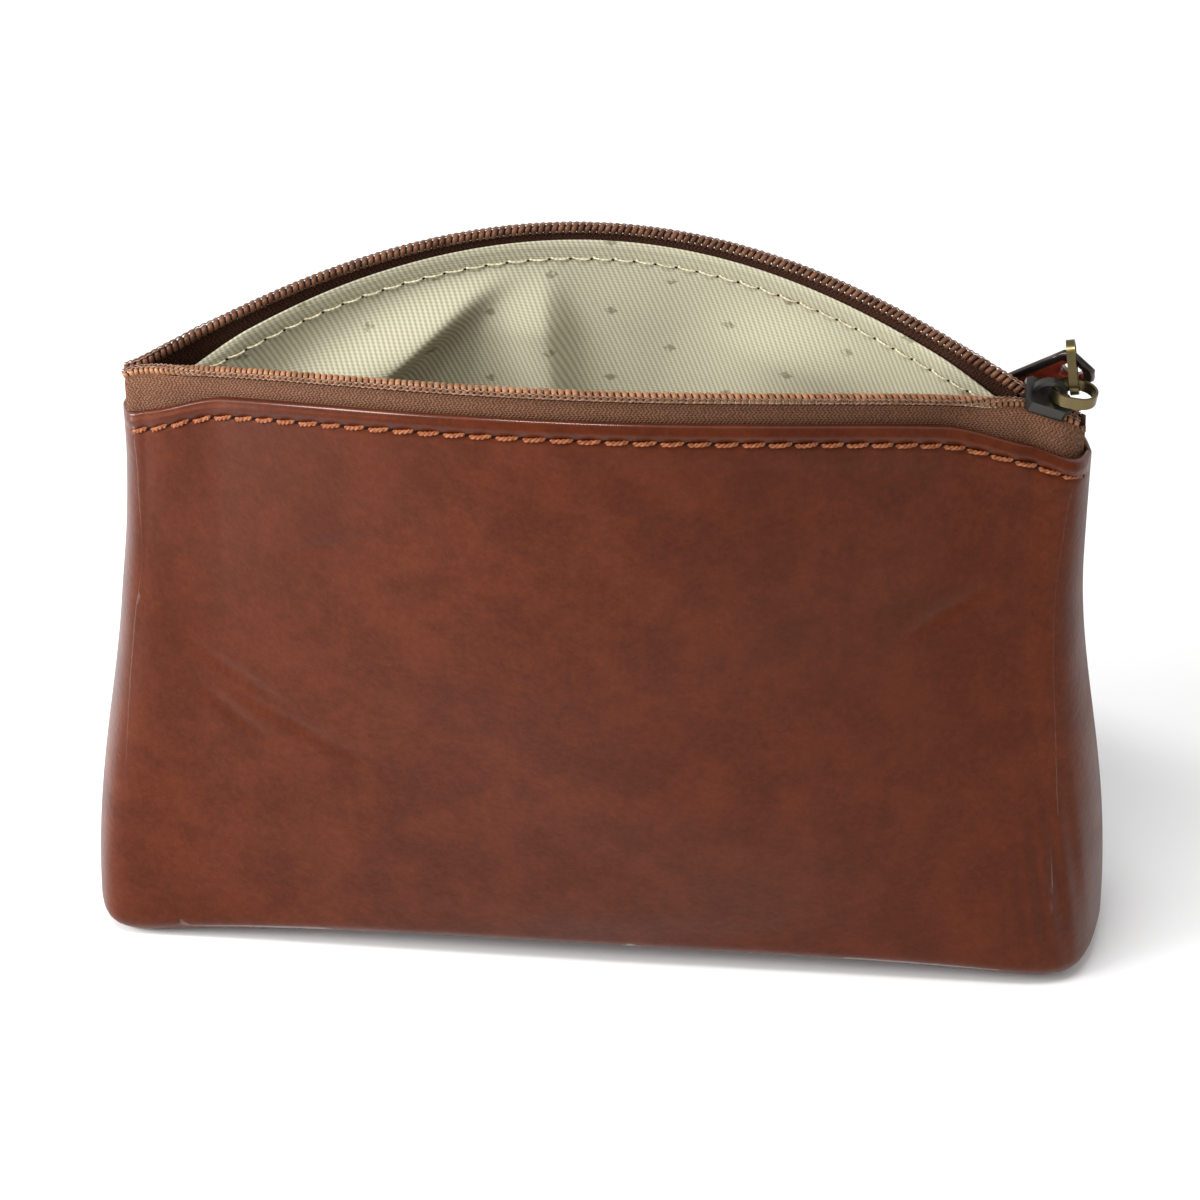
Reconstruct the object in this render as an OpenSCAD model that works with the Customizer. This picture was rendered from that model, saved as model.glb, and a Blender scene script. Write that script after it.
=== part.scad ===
// Zippered leather pouch, open, standing on its boxed base. Millimetres, +Z up.
// Origin: the middle of the base, on the surface that the pouch stands on.
// +X runs along the zip towards the end where the slider rests, and -Y is the front.

/* [Pouch] */
// Half width of the base
base_half_width = 100; // [94:1:108]
// Half depth of the base
base_half_depth = 20; // [16:1:24]
// Half width at the top of the side seams
top_half_width = 91; // [91:0.5:95]
// Radius of the rounded edge round the base
base_edge_r = 5; // [4:0.5:9]
// How far the walls swell at half height
belly = 3; // [0:0.5:8]
// Thickness of the leather
leather_t = 1.2; // [0.8:0.05:1.2]

/* [Mouth] */
// Height of the zip at its two ends
zip_end_height = 122.4; // [105:0.2:135]
// How much higher the zip is in the middle
zip_arch = 18.8; // [14:0.1:24]
// How far each side of the open mouth stands out from the middle
mouth_bow = 26.5; // [10:0.5:32]
// How gently the mouth opens from its ends
mouth_bow_power = 1.2; // [1.15:0.05:1.6]
// Drop from the coil to the leather's top edge, in the middle
edge_drop = 5; // [4.6:0.1:8]
// The same drop at the two ends
edge_drop_end = 5.6; // [4:0.1:7]

/* [Zip] */
// Diameter of the nylon coil
coil_d = 2.1; // [1.8:0.05:2.1]
// Half of the zip's length, measured along X
zip_half_length = 88; // [87:0.5:88]
// Thickness of the zip tape
tape_t = 0.5; // [0.3:0.05:0.5]
// Where the middle of the slider stands when the zip is open
slider_x = 81.5; // [80.5:0.1:82]

/* [Slider and pull] */
// Length of the slider
slider_length = 9; // [8:0.1:9]
// Width of the slider's nose
nose_width = 8.6; // [8.4:0.1:8.8]
// Width of the slider's tail
tail_width = 6.8; // [6.6:0.1:7]
// Thickness of each slider plate
plate_t = 0.9; // [0.7:0.05:1.1]
// Thickness of the strip that the two rings are bent from
strip_t = 0.5; // [0.4:0.05:0.5]
// Length of the leather pull
pull_length = 27; // [18:1:34]
// Width of the leather pull
pull_width = 8.4; // [7.6:0.1:9]
// Thickness of the leather pull
pull_t = 1.5; // [1.2:0.1:1.5]

/* [Hidden] */

$fn = 32;

leather = "#7a3a26";
lining_cloth = "#c9c2a8";
tape_brown = "#6e4a36";
coil_copper = "#b07a58";
coil_dark = "#7a4c38";
tan_thread = "#c4753c";
cream_thread = "#d8d0b4";
zinc_black = "#34302c";
old_brass = "#8a7a4c";
pull_leather = "#5c2418";

// Depths of the layers, measured inwards from the leather's outer face
seam_gap = 0.1;
tape_depth = 1.65;
seam_thread_depth = 1.8;
lining_depth = 2.4;
lining_t = 0.4;
// Distances from the leather's top edge down to the stitches and the tape's end,
// and up to the lining's folded edge
stitch_drop = 3.3;
tape_tuck = 7;
lining_rise = 2.4;
thread_r = 0.2;
coil_thread_r = 0.14;
coil_thread_gap = 0.22;
coil_wall = 0.5;
cord_r = 0.4;

// The zip lies on a circle about the Y direction, which is also the slider's path
zip_radius = (zip_half_length * zip_half_length + zip_arch * zip_arch) / (2 * zip_arch);
zip_centre_z = zip_end_height + zip_arch - zip_radius;
slider_angle = asin(slider_x / zip_radius);

// The mouth opens between its left end and the slider
bow_left = -86;
bow_right = slider_x - 1;
bow_middle = (bow_left + bow_right) / 2;
bow_half = (bow_right - bow_left) / 2;
end_zone = 16;

// How far the coil and the leather's edge stand from the middle where the zip is closed
coil_half_gap = coil_d / 2 + 0.2;
edge_half_gap = 3.5;
edge_half_gap_end = 6.6;

// How sharply the outline turns the corner into a side seam, at the top and round the base
top_corner = 60;
base_corner = 22;
taper_height = 92;
// How far along the base its seam runs before the panels' corners turn up
base_seam_share = 0.98;

columns = 36;
wall_rows = 8;
edge_rows = 3;
zip_steps = 44;

function mix(a, b, t) = a + (b - a) * t;
function clamp01(t) = min(1, max(0, t));
function smooth(t) = t * t * (3 - 2 * t);

// ---- Shape of the mouth ----
function zip_z(x) = zip_centre_z + sqrt(zip_radius * zip_radius - x * x);
function bow_share(x) = clamp01(1 - pow(abs(x - bow_middle) / bow_half, 2));
function bow(x) = mouth_bow * pow(bow_share(x), mouth_bow_power);
// 0 along the open mouth, 1 near its ends, where the tapes lie flat
function endness(x) = 1 - smooth(clamp01((bow_half - 1 - abs(x - bow_middle)) / end_zone));
function edge_z(x) = zip_z(x) - mix(edge_drop, edge_drop_end, endness(x));
function edge_y(x) = bow(x) + mix(edge_half_gap, edge_half_gap_end, endness(x));

// ---- Shape of the front wall; the back is its mirror image ----
// u runs from -1 at the left seam to 1 at the right seam
function corner(u, power) = sqrt(max(0, 1 - pow(abs(u), power)));
function half_width(z) = mix(base_half_width, top_half_width, smooth(clamp01(z / taper_height)));
function wall_y(u, share) =
    let (top = edge_y(u * top_half_width) * corner(u, top_corner))
    let (base = base_half_depth * corner(u, base_corner))
    mix(base, top, share) + belly * sin(180 * share) * (1 - u * u);

// A point on the surface that lies this depth inside the leather's outer face.
// The inset draws it further in, to round the edge of the base.
function wall_point(u, z, depth, inset = 0) =
    let (share = clamp01(z / edge_z(u * top_half_width)))
    let (kept = 1 - inset / (base_half_depth - depth))
    let (y = (wall_y(u, share) - depth) * corner(u, top_corner) * kept)
    [u * (half_width(z) - depth - inset), -seam_gap - max(0, y), z];

// One column of a panel: from the base seam outwards, round the edge and up to the top
function panel_column(u, depth, top_z) =
    let (foot = wall_point(u, depth, depth, base_edge_r))
    concat(
        [[foot[0] * base_seam_share, -seam_gap, depth]],
        [for (k = [0 : edge_rows])
            let (a = 90 * k / edge_rows)
            let (z = mix(depth, base_edge_r, 1 - cos(a)))
            wall_point(u, z, depth, base_edge_r * (1 - sin(a)))],
        [for (k = [1 : wall_rows])
            wall_point(u, mix(base_edge_r, top_z, k / wall_rows), depth)]
    );

function column_u(k) = sin(mix(-90, 90, k / columns));
function lining_top(x) = edge_z(x) + mix(lining_rise, -0.3, endness(x));
function leather_surface(depth) = [for (k = [0 : columns])
    let (u = column_u(k))
    panel_column(u, depth, edge_z(u * top_half_width))];
function lining_surface(depth) = [for (k = [0 : columns])
    let (u = column_u(k))
    panel_column(u, depth, lining_top(u * top_half_width))];

// ---- Shape of the zip's front half ----
function zip_x(k) = mix(-zip_half_length, zip_half_length, k / zip_steps);
function coil_point(x) = [x, -coil_half_gap - bow(x), zip_z(x)];
// The tape leaves the coil sideways near the ends and downwards along the open mouth
function tape_turn(x) = 80 * (1 - endness(x));
function tape_way(x) = [0, -cos(tape_turn(x)), -sin(tape_turn(x))];
function coil_face(x) = [0, -sin(tape_turn(x)), cos(tape_turn(x))];
function unit(v) = v / norm(v);
function along_zip(x) = unit(coil_point(x + 0.5) - coil_point(x - 0.5));

// A round section of a strand that runs along the zip
function ring_at(centre, way, r, sides) =
    let (across = unit(cross(way, [0, 0, 1])))
    let (up = cross(across, way))
    [for (k = [0 : sides - 1])
        let (a = 360 * k / sides)
        centre + r * cos(a) * across + r * sin(a) * up];
function zip_rings(r, sides, lift = 0) = [for (k = [0 : zip_steps])
    let (x = zip_x(k))
    ring_at(coil_point(x) + lift * coil_face(x), along_zip(x), r, sides)];

// The tape's profile: coil side, bend, leather's edge, tucked end; moved along its own normal
function tape_profile(x, shift) =
    let (u = x / (top_half_width - tape_depth))
    let (start = coil_point(x) + (coil_d / 2 + 0.12) * tape_way(x))
    let (edge = wall_point(u, edge_z(x), tape_depth))
    let (low = wall_point(u, edge_z(x) - tape_tuck, tape_depth))
    let (bend = mix((start + edge) / 2, [x, edge[1], start[2]], endness(x)))
    let (shoulder = unit(coil_face(x) + [0, -1, 0]))
    [
        start + shift * coil_face(x),
        [x, bend[1], bend[2]] + shift * shoulder,
        [x, edge[1] - shift, edge[2]],
        [x, low[1] - shift, low[2]]
    ];
function tape_surface(shift) = [for (k = [0 : zip_steps]) tape_profile(zip_x(k), shift)];

// A strand of thread that follows the leather's edge at this depth
function stitch_rings(depth) = [for (k = [0 : zip_steps])
    let (u = mix(-0.955, 0.955, k / zip_steps))
    let (z = edge_z(u * top_half_width) - stitch_drop)
    let (here = wall_point(u, z, depth))
    let (next = wall_point(u + 0.01, z, depth))
    ring_at(here, unit(next - here), thread_r, 5)];

function side_seam_rings(side) = [for (k = [0 : 12])
    let (z = mix(10, edge_z(top_half_width) - 8, k / 12))
    let (x = side * (half_width(z) - seam_thread_depth))
    [for (j = [0 : 5])
        [x + thread_r * cos(60 * j), -thread_r * sin(60 * j), z]]];

// ---- Closed solids from lists of points ----
// The diagonals of the two halves mirror each other
function grid_faces(n, m, wrap) = [for (i = [0 : n - 2], j = [0 : m - (wrap ? 1 : 2)])
    let (a = i * m + j)
    let (up = i * m + (j + 1) % m)
    each 2 * i < n - 1
        ? [[a, up, up + m], [a, up + m, a + m]]
        : [[a, up, a + m], [a + m, up, up + m]]];

// A sheet between an outer and an inner surface, each a list of columns
module sheet(outer, inner) {
    n = len(outer);
    m = len(outer[0]);
    second = n * m;
    faces = grid_faces(n, m, false);
    rim = concat(
        [for (j = [0 : m - 1]) j],
        [for (i = [1 : n - 1]) i * m + m - 1],
        [for (j = [m - 2 : -1 : 0]) (n - 1) * m + j],
        [for (i = [n - 2 : -1 : 1]) i * m]
    );
    polyhedron(
        points = concat([for (c = outer) each c], [for (c = inner) each c]),
        faces = concat(
            faces,
            [for (f = faces) [f[2] + second, f[1] + second, f[0] + second]],
            [for (k = [0 : len(rim) - 1])
                let (a = rim[k])
                let (b = rim[(k + 1) % len(rim)])
                each [[b, a, a + second], [b, a + second, b + second]]]
        )
    );
}

// A solid strand through a list of rings
module strand(rings) {
    n = len(rings);
    m = len(rings[0]);
    polyhedron(
        points = [for (r = rings) each r],
        faces = concat(
            grid_faces(n, m, true),
            [[for (j = [m - 1 : -1 : 0]) j]],
            [[for (j = [0 : m - 1]) (n - 1) * m + j]]
        )
    );
}

// A hollow strand between two lists of rings
module pipe(outer, inner) {
    n = len(outer);
    m = len(outer[0]);
    second = n * m;
    last = (n - 1) * m;
    faces = grid_faces(n, m, true);
    polyhedron(
        points = concat([for (r = outer) each r], [for (r = inner) each r]),
        faces = concat(
            faces,
            [for (f = faces) [f[2] + second, f[1] + second, f[0] + second]],
            [for (j = [0 : m - 1])
                let (k = (j + 1) % m)
                each [
                    [k, j, j + second], [k, j + second, k + second],
                    [last + j, last + k, last + k + second],
                    [last + j, last + k + second, last + j + second]
                ]]
        )
    );
}

module at_back() {
    mirror([0, 1, 0]) children();
}

// ---- Leather and lining ----
module leather_panel() {
    sheet(leather_surface(0), leather_surface(leather_t));
}

module lining_panel() {
    sheet(lining_surface(lining_depth), lining_surface(lining_depth + lining_t));
}

module front_panel() color(leather) leather_panel();
module back_panel() color(leather) at_back() leather_panel();
module front_lining() color(lining_cloth) lining_panel();
module back_lining() color(lining_cloth) at_back() lining_panel();

// ---- Zip ----
module tape() {
    sheet(tape_surface(-tape_t / 2), tape_surface(tape_t / 2));
}

module coil() {
    pipe(zip_rings(coil_d / 2, 8), zip_rings(coil_d / 2 - coil_wall, 8));
}

module front_tape() color(tape_brown) tape();
module back_tape() color(tape_brown) at_back() tape();
module front_coil() color(coil_copper) coil();
module back_coil() color(coil_dark) at_back() coil();
module front_coil_cord() color(tape_brown) strand(zip_rings(cord_r, 6));
module back_coil_cord() color(tape_brown) at_back() strand(zip_rings(cord_r, 6));

module coil_thread() {
    strand(zip_rings(coil_thread_r, 5, coil_d / 2 + coil_thread_r + coil_thread_gap));
}

module front_coil_thread() color(coil_copper) coil_thread();
module back_coil_thread() color(coil_dark) at_back() coil_thread();

// ---- Seams ----
module front_topstitch() color(tan_thread) strand(stitch_rings(-thread_r - 0.1));
module back_topstitch() color(tan_thread) at_back() strand(stitch_rings(-thread_r - 0.1));

module lining_stitch() {
    strand(stitch_rings(lining_depth + lining_t + thread_r + 0.1));
}

module front_lining_stitch() color(cream_thread) lining_stitch();
module back_lining_stitch() color(cream_thread) at_back() lining_stitch();
module left_seam_thread() color(tan_thread) strand(side_seam_rings(-1));
module right_seam_thread() color(tan_thread) strand(side_seam_rings(1));

module base_seam_thread() {
    length = 2 * (base_half_width - base_edge_r - 6);
    color(tan_thread)
        translate([-length / 2, 0, seam_thread_depth])
            rotate([0, 90, 0])
                cylinder(r = thread_r, h = length);
}

// ---- Slider ----
// The slider's own frame: origin in the middle of the closed chain, +X towards its tail
// and +Z away from the pouch
channel_half_height = coil_d / 2 + 0.55;
slot_half_height = 0.5;
plate_top = channel_half_height + plate_t;
flange_t = 0.7;
loop_inner_r = 2.6;
loop_t = 0.8;
loop_width = 1.6;

module on_slider() {
    translate([0, 0, zip_centre_z])
        rotate([0, slider_angle, 0])
            translate([0, 0, zip_radius])
                children();
}

module slider_outline(trim) {
    nose = nose_width / 2 - trim;
    tail = tail_width / 2 - trim;
    front = -slider_length / 2 - trim;
    rear = slider_length / 2 + trim;
    chamfer = 1.2;
    polygon([
        [front, -nose + chamfer], [front + chamfer, -nose], [rear - chamfer, -tail],
        [rear, -tail + chamfer], [rear, tail - chamfer], [rear - chamfer, tail],
        [front + chamfer, nose], [front, nose - chamfer]
    ]);
}

module slider_channel() {
    nose = nose_width / 2 - flange_t;
    tail = tail_width / 2 - flange_t;
    reach = slider_length / 2 + 1;
    polygon([[-reach, -nose], [reach, -tail], [reach, tail], [-reach, nose]]);
}

module slider_half() {
    translate([0, 0, channel_half_height])
        linear_extrude(height = plate_t)
            slider_outline(0);
    translate([0, 0, slot_half_height])
        linear_extrude(height = plate_top - slot_half_height - plate_t / 2)
            difference() {
                slider_outline(0);
                slider_channel();
            }
}

module slider_post() {
    front = -slider_length / 2;
    translate([0, 0, -channel_half_height - plate_t / 2])
        linear_extrude(height = 2 * channel_half_height + plate_t)
            polygon([
                [front + 0.2, 0], [front + 0.6, -0.5], [front + 2.2, -0.1],
                [front + 2.2, 0.1], [front + 0.6, 0.5]
            ]);
}

// The arch on top of the slider that the link ring passes under
module slider_loop() {
    outer_r = loop_inner_r + loop_t;
    translate([0, 0, plate_top])
        difference() {
            rotate([90, 0, 0])
                cylinder(r = outer_r, h = loop_width, center = true);
            rotate([90, 0, 0])
                cylinder(r = loop_inner_r, h = loop_width + 1, center = true);
            translate([0, 0, -outer_r - plate_t / 2])
                cube([3 * outer_r, 3 * loop_width, 2 * outer_r], center = true);
        }
}

module slider_body() {
    color(zinc_black)
        on_slider() {
            slider_half();
            mirror([0, 0, 1]) slider_half();
            slider_post();
            slider_loop();
        }
}

// ---- Rings and pull ----
link_length = 8.6;
link_width = 6.8;
link_strip = 2.2;
link_tilt = 15;
link_pivot_z = plate_top + 1.25;
link_reach = link_length / 2 - strip_t / 2;

pull_ring_length = 10.2;
pull_ring_width = 4.6;
pull_ring_strip = 1.6;
pull_ring_back = 35;
pull_ring_side = -32;
ring_slack = 0.25;
pull_ring_rise = (pull_ring_length - pull_ring_width) / 2 + ring_slack;

hole_r = 2;
hole_from_end = 3.1;
pull_corner = 1.6;
pull_lean = 25;
pull_roll = 44;

module stadium(length, width) {
    square([length - width, width], center = true);
    for (side = [-1, 1])
        translate([side * (length - width) / 2, 0])
            circle(d = width);
}

// A flat strip bent into an oval ring; it lies in the XY plane, long way along X
module strip_ring(length, width, strip) {
    linear_extrude(height = strip, center = true)
        difference() {
            stadium(length, width);
            stadium(length - 2 * strip_t, width - 2 * strip_t);
        }
}

// The link ring's frame: origin in the middle of its bar under the slider's loop
module on_link() {
    on_slider()
        translate([0, 0, link_pivot_z])
            rotate([0, -link_tilt, 0])
                children();
}

// The pull ring's frame: origin in the link ring's back limb, +Z along the ring
module on_pull_ring() {
    on_link()
        translate([link_reach, (link_width - strip_t) / 2, 0])
            rotate([0, pull_ring_side + link_tilt, 0])
                rotate([-pull_ring_back, 0, 0])
                    children();
}

// The pull's frame: origin in the middle of its hole, hanging towards -Z
module on_pull() {
    on_pull_ring()
        translate([0, (pull_ring_width - strip_t) / 2, pull_ring_rise])
            rotate([pull_ring_back, 0, 0])
                rotate([0, -pull_ring_side - slider_angle, 0])
                    rotate([0, pull_roll, 0])
                        rotate([pull_lean, 0, 0])
                            children();
}

module link_ring() {
    color(old_brass)
        on_link()
            translate([link_reach, 0, 0])
                strip_ring(link_length, link_width, link_strip);
}

module pull_ring() {
    color(old_brass)
        on_pull_ring()
            translate([0, 0, pull_ring_rise])
                rotate([0, 90, 0])
                    strip_ring(pull_ring_length, pull_ring_width, pull_ring_strip);
}

module pull_tab() {
    half = pull_width / 2;
    top = hole_from_end;
    bottom = hole_from_end - pull_length;
    color(pull_leather)
        on_pull()
            rotate([90, 0, 0])
                linear_extrude(height = pull_t, center = true)
                    difference() {
                        polygon([
                            [-half, bottom + pull_corner], [-half + pull_corner, bottom],
                            [half - pull_corner, bottom], [half, bottom + pull_corner],
                            [half, top - pull_corner], [half - pull_corner, top],
                            [-half + pull_corner, top], [-half, top - pull_corner]
                        ]);
                        circle(r = hole_r);
                    }
}

front_panel();
back_panel();
front_lining();
back_lining();
front_tape();
back_tape();
front_coil();
back_coil();
front_coil_cord();
back_coil_cord();
front_coil_thread();
back_coil_thread();
front_topstitch();
back_topstitch();
front_lining_stitch();
back_lining_stitch();
left_seam_thread();
right_seam_thread();
base_seam_thread();
slider_body();
link_ring();
pull_ring();
pull_tab();
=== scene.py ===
"""An open leather pouch with an arched nylon zip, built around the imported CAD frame.

Lengths in the shape functions are in millimetres, as in the CAD, and become metres when a mesh is made.
The lights, the camera and the sheets' flat sizes are in metres.
"""

import math

import bmesh
import bpy
from mathutils import Matrix, Vector, noise


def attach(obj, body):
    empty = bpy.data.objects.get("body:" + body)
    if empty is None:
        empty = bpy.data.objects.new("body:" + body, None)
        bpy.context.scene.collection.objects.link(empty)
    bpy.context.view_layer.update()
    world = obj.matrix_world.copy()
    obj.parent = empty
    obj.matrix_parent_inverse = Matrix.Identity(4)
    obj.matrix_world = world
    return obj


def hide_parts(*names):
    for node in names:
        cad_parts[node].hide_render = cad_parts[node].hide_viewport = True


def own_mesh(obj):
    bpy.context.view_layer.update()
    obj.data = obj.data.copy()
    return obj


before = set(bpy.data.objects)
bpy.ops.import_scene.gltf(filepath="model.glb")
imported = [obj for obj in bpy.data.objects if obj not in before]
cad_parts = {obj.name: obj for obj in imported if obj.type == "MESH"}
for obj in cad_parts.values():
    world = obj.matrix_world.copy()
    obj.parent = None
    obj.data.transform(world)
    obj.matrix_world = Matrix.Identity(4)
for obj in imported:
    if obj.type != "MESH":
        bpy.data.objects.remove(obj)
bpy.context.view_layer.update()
MM = 0.001

# ---- Sizes, the same as in the CAD ----
BASE_HALF_WIDTH = 100.0
BASE_HALF_DEPTH = 20.0
TOP_HALF_WIDTH = 91.0
BASE_EDGE_R = 5.0
BELLY = 3.0
LEATHER_T = 1.2
ZIP_END_HEIGHT = 122.4
ZIP_ARCH = 18.8
MOUTH_BOW = 26.5
MOUTH_BOW_POWER = 1.2
EDGE_DROP = 5.0
EDGE_DROP_END = 5.6
COIL_D = 2.1
ZIP_HALF_LENGTH = 88.0
TAPE_T = 0.5
SLIDER_X = 81.5
SEAM_GAP = 0.1
TAPE_DEPTH = 1.65
LINING_DEPTH = 2.4
LINING_T = 0.4
STITCH_DROP = 3.3
TAPE_TUCK = 7.0
LINING_RISE = 2.4
END_ZONE = 16.0
EDGE_HALF_GAP = 3.5
EDGE_HALF_GAP_END = 6.6
TOP_CORNER = 60
BASE_CORNER = 22
BASE_CORNER_LEFT = 48
TAPER_HEIGHT = 92.0
BASE_SEAM_SHARE = 0.98
COIL_HALF_GAP = COIL_D / 2 + 0.2
SEAM_THREAD_DEPTH = 1.8
CHANNEL_HALF_HEIGHT = COIL_D / 2 + 0.55
PLATE_T = 0.9
STRIP_T = 0.5
LINK_LENGTH = 8.6
LINK_WIDTH = 6.8
LINK_TILT = 15
LINK_PIVOT_Z = CHANNEL_HALF_HEIGHT + PLATE_T + 1.25
PULL_RING_LENGTH = 10.2
PULL_RING_WIDTH = 4.6
PULL_RING_BACK = 35
PULL_RING_SIDE = -32
RING_SLACK = 0.25
PULL_LENGTH = 27
PULL_WIDTH = 8.4
PULL_T = 1.5
PULL_CORNER = 1.6
PULL_HOLE_R = 2.0
PULL_HOLE_FROM_END = 3.1
PULL_LEAN = 25
PULL_ROLL = 44
BOW_LEFT = -86.0
BOW_RIGHT = SLIDER_X - 1
BOW_MIDDLE = (BOW_LEFT + BOW_RIGHT) / 2
BOW_HALF = (BOW_RIGHT - BOW_LEFT) / 2
ZIP_RADIUS = (ZIP_HALF_LENGTH**2 + ZIP_ARCH**2) / (2 * ZIP_ARCH)
ZIP_CENTRE_Z = ZIP_END_HEIGHT + ZIP_ARCH - ZIP_RADIUS

# ---- Detail that only this model has ----
COIL_PITCH = 1.25
COIL_WIRE_HALF_T = 0.3
COIL_WIRE_HALF_W = 0.51
STITCH_PITCH = 4.9
LINING_STITCH_PITCH = 4.0
LINING_STITCH_DROP = 1.3
TAPE_LEFT = -87.6
TAPE_RIGHT = 89.5
TAPE_STEPS = 260
TAPE_CORNER_CUTS = 3
COIL_STEPS = 16
COIL_THREAD_R = 0.13
COIL_THREAD_STEPS = 8
COIL_THREAD_ROWS = (-0.35, 0.4)
CORD_PLY_R = 0.29
CORD_PLY_OFFSET = 0.17
CORD_STEP = 0.3
CORD_TWIST = 0.9
SEAM_THREAD_R = 0.18
STITCH_STEPS = 14
STITCH_TWISTS = 2.2
STITCH_BURIED = -0.35
NEEDLE_HOLE_SHARE = 1.25
NEEDLE_HOLE_SIDES = 10
# Where the stitch rows start and end, and their last needle's place, as shares of the half width
ROW_START = -0.97
ROW_END = 0.955
ROW_LAST_PLACE = 0.985
# Each loop round the pull's painted edge: its distance inside the outline, its share of the half thickness
PULL_EDGE_LOOPS = ((0.0, 0.0), (0.0, 0.55), (0.12, 0.75), (0.4, 0.96), (0.75, 1.0), (1.3, 1.0))
PULL_FACE_SHARES = (0.35, 0.7, 1.0)
BASE_LIFT = 3.4
BASE_LIFT_MIDDLE = 5
BASE_LIFT_REACH = 94
BASE_LIFT_FADE = 18
EDGE_ROLL = 0.5
EDGE_GROOVE = -0.42
EDGE_HEM = 0.12
LINING_HEM = 0.12
LINING_GROOVE = -0.2
WAVE_HEIGHT = 1.1
DENT_DEPTH = 1.3
CREASE_DEPTH = 0.5
CREASE_HALF_WIDTH = 1.5
WRINKLE_HEIGHT = 0.34
RIPPLE_HEIGHT = 1.6
# Each crease's middle in x and z, its rise along x, and its reach
CREASES = (
    (-66.0, 66.0, -0.5, 9.0),
    (-57.0, 58.0, -0.45, 12.0),
    (-69.0, 58.0, -0.7, 6.0),
    (-50.0, 100.0, 0.5, 7.0),
    (66.0, 88.0, 0.6, 8.0),
)
# Each fold's place at height 100, its lean, its widths to the left and right, and its height
LINING_FOLDS = (
    (-58.0, 1.1, 15.0, 5.0, 8.0),
    (-10.0, -0.1, 9.0, 3.2, 4.5),
    (24.0, 0.4, 12.0, 14.0, 2.2),
)
FOLD_HEIGHT_ORIGIN = 100
WALL_COLUMNS = 300
WALL_ROWS = 130
ROW_CROWDING = 1.6
FLOOR_STEPS = 10
EDGE_STEPS = 8
# Each layer's depth in the wall, its distance from the middle when closed,
# and the share of its bulge that it keeps
CLOSED = {"leather": (0.0, EDGE_HALF_GAP, 0.08), "lining": (LINING_DEPTH, -1.0, 0.05)}


def mix(a, b, t):
    return a + (b - a) * t


def clamp01(t):
    return min(1.0, max(0.0, t))


def smooth(t):
    return t * t * (3 - 2 * t)


def ease(t):
    return smooth(clamp01(t))


# ---- Shape of the mouth and the walls ----
def zip_z(x):
    return ZIP_CENTRE_Z + math.sqrt(ZIP_RADIUS**2 - x * x)


def bow(x):
    """How far the open mouth bows out at x."""
    share = clamp01(1 - (abs(x - BOW_MIDDLE) / BOW_HALF) ** 2)
    return MOUTH_BOW * share**MOUTH_BOW_POWER


def endness(x):
    """0 along the mouth, rising to 1 at its two ends."""
    return 1 - ease((BOW_HALF - 1 - abs(x - BOW_MIDDLE)) / END_ZONE)


def edge_z(x):
    return zip_z(x) - mix(EDGE_DROP, EDGE_DROP_END, endness(x))


def edge_y(x):
    return bow(x) + mix(EDGE_HALF_GAP, EDGE_HALF_GAP_END, endness(x))


def lining_top(x):
    return edge_z(x) + mix(LINING_RISE, -0.3, endness(x))


def corner(u, power):
    """1 across the width, rounding off to 0 at both sides; a higher power gives a tighter corner."""
    return math.sqrt(max(0.0, 1 - abs(u) ** power))


def half_width(z):
    return mix(BASE_HALF_WIDTH, TOP_HALF_WIDTH, ease(z / TAPER_HEIGHT))


def sag(u, z):
    """How far the soft wall leaves its even shape: broad waves and dents, none near its seams and edge."""
    x = u * half_width(z)
    top = edge_z(u * TOP_HALF_WIDTH)
    free = ease((top - z) / 22) * ease(z / 16) * (1 - abs(u) ** 8)
    waves = WAVE_HEIGHT * noise.noise(Vector((x / 46, z / 38, 3.7)))
    upper_left_dent = -DENT_DEPTH * math.exp(-(((x + 84) / 9) ** 2) - ((z - 88) / 13) ** 2)
    creases = 0.0
    for middle_x, middle_z, rise, reach in CREASES:
        off_line = (z - middle_z) - rise * (x - middle_x)
        along = (x - middle_x) / reach
        creases -= CREASE_DEPTH * math.exp(-((off_line / CREASE_HALF_WIDTH) ** 2) - along**2)
    return free * (waves + upper_left_dent + creases)


def side_shift(u, z):
    """How the two sides differ: the left one is drawn in at the top, and both are fuller low down."""
    near_side = ease((abs(u) - 0.5) / 0.5)
    if u < 0:
        drawn_in = 2.0 * ease((z - 70) / 40)
        return (drawn_in - 0.7 * math.exp(-(((z - 24) / 30) ** 2))) * near_side
    return 1.5 * math.exp(-(((z - 44) / 34) ** 2)) * near_side


def base_corner(u):
    return BASE_CORNER if u > 0 else BASE_CORNER_LEFT


def wall_point(u, z, depth, inset=0.0):
    """A point of the front half, u from -1 at the left to 1 at the right, this deep behind its face.

    The inset draws it further in towards the middle, for the turn under the base.
    """
    share = clamp01(z / edge_z(u * TOP_HALF_WIDTH))
    top = edge_y(u * TOP_HALF_WIDTH) * corner(u, TOP_CORNER)
    base = BASE_HALF_DEPTH * corner(u, base_corner(u))
    full = mix(base, top, share) + BELLY * math.sin(math.pi * share) * (1 - u * u)
    kept = 1 - inset / (BASE_HALF_DEPTH - depth)
    y = (full + sag(u, z) - depth) * corner(u, TOP_CORNER) * kept
    x = u * (half_width(z) - depth - inset) + side_shift(u, z)
    return Vector((x, -SEAM_GAP - max(0.0, y), z))


def coil_point(x):
    return Vector((x, -COIL_HALF_GAP - bow(x), zip_z(x)))


def tape_turn(x):
    """How steeply the tape leaves its coil: level at the ends, almost straight down between them."""
    return math.radians(80 * (1 - endness(x)))


def tape_way(x):
    return Vector((0, -math.cos(tape_turn(x)), -math.sin(tape_turn(x))))


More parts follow.
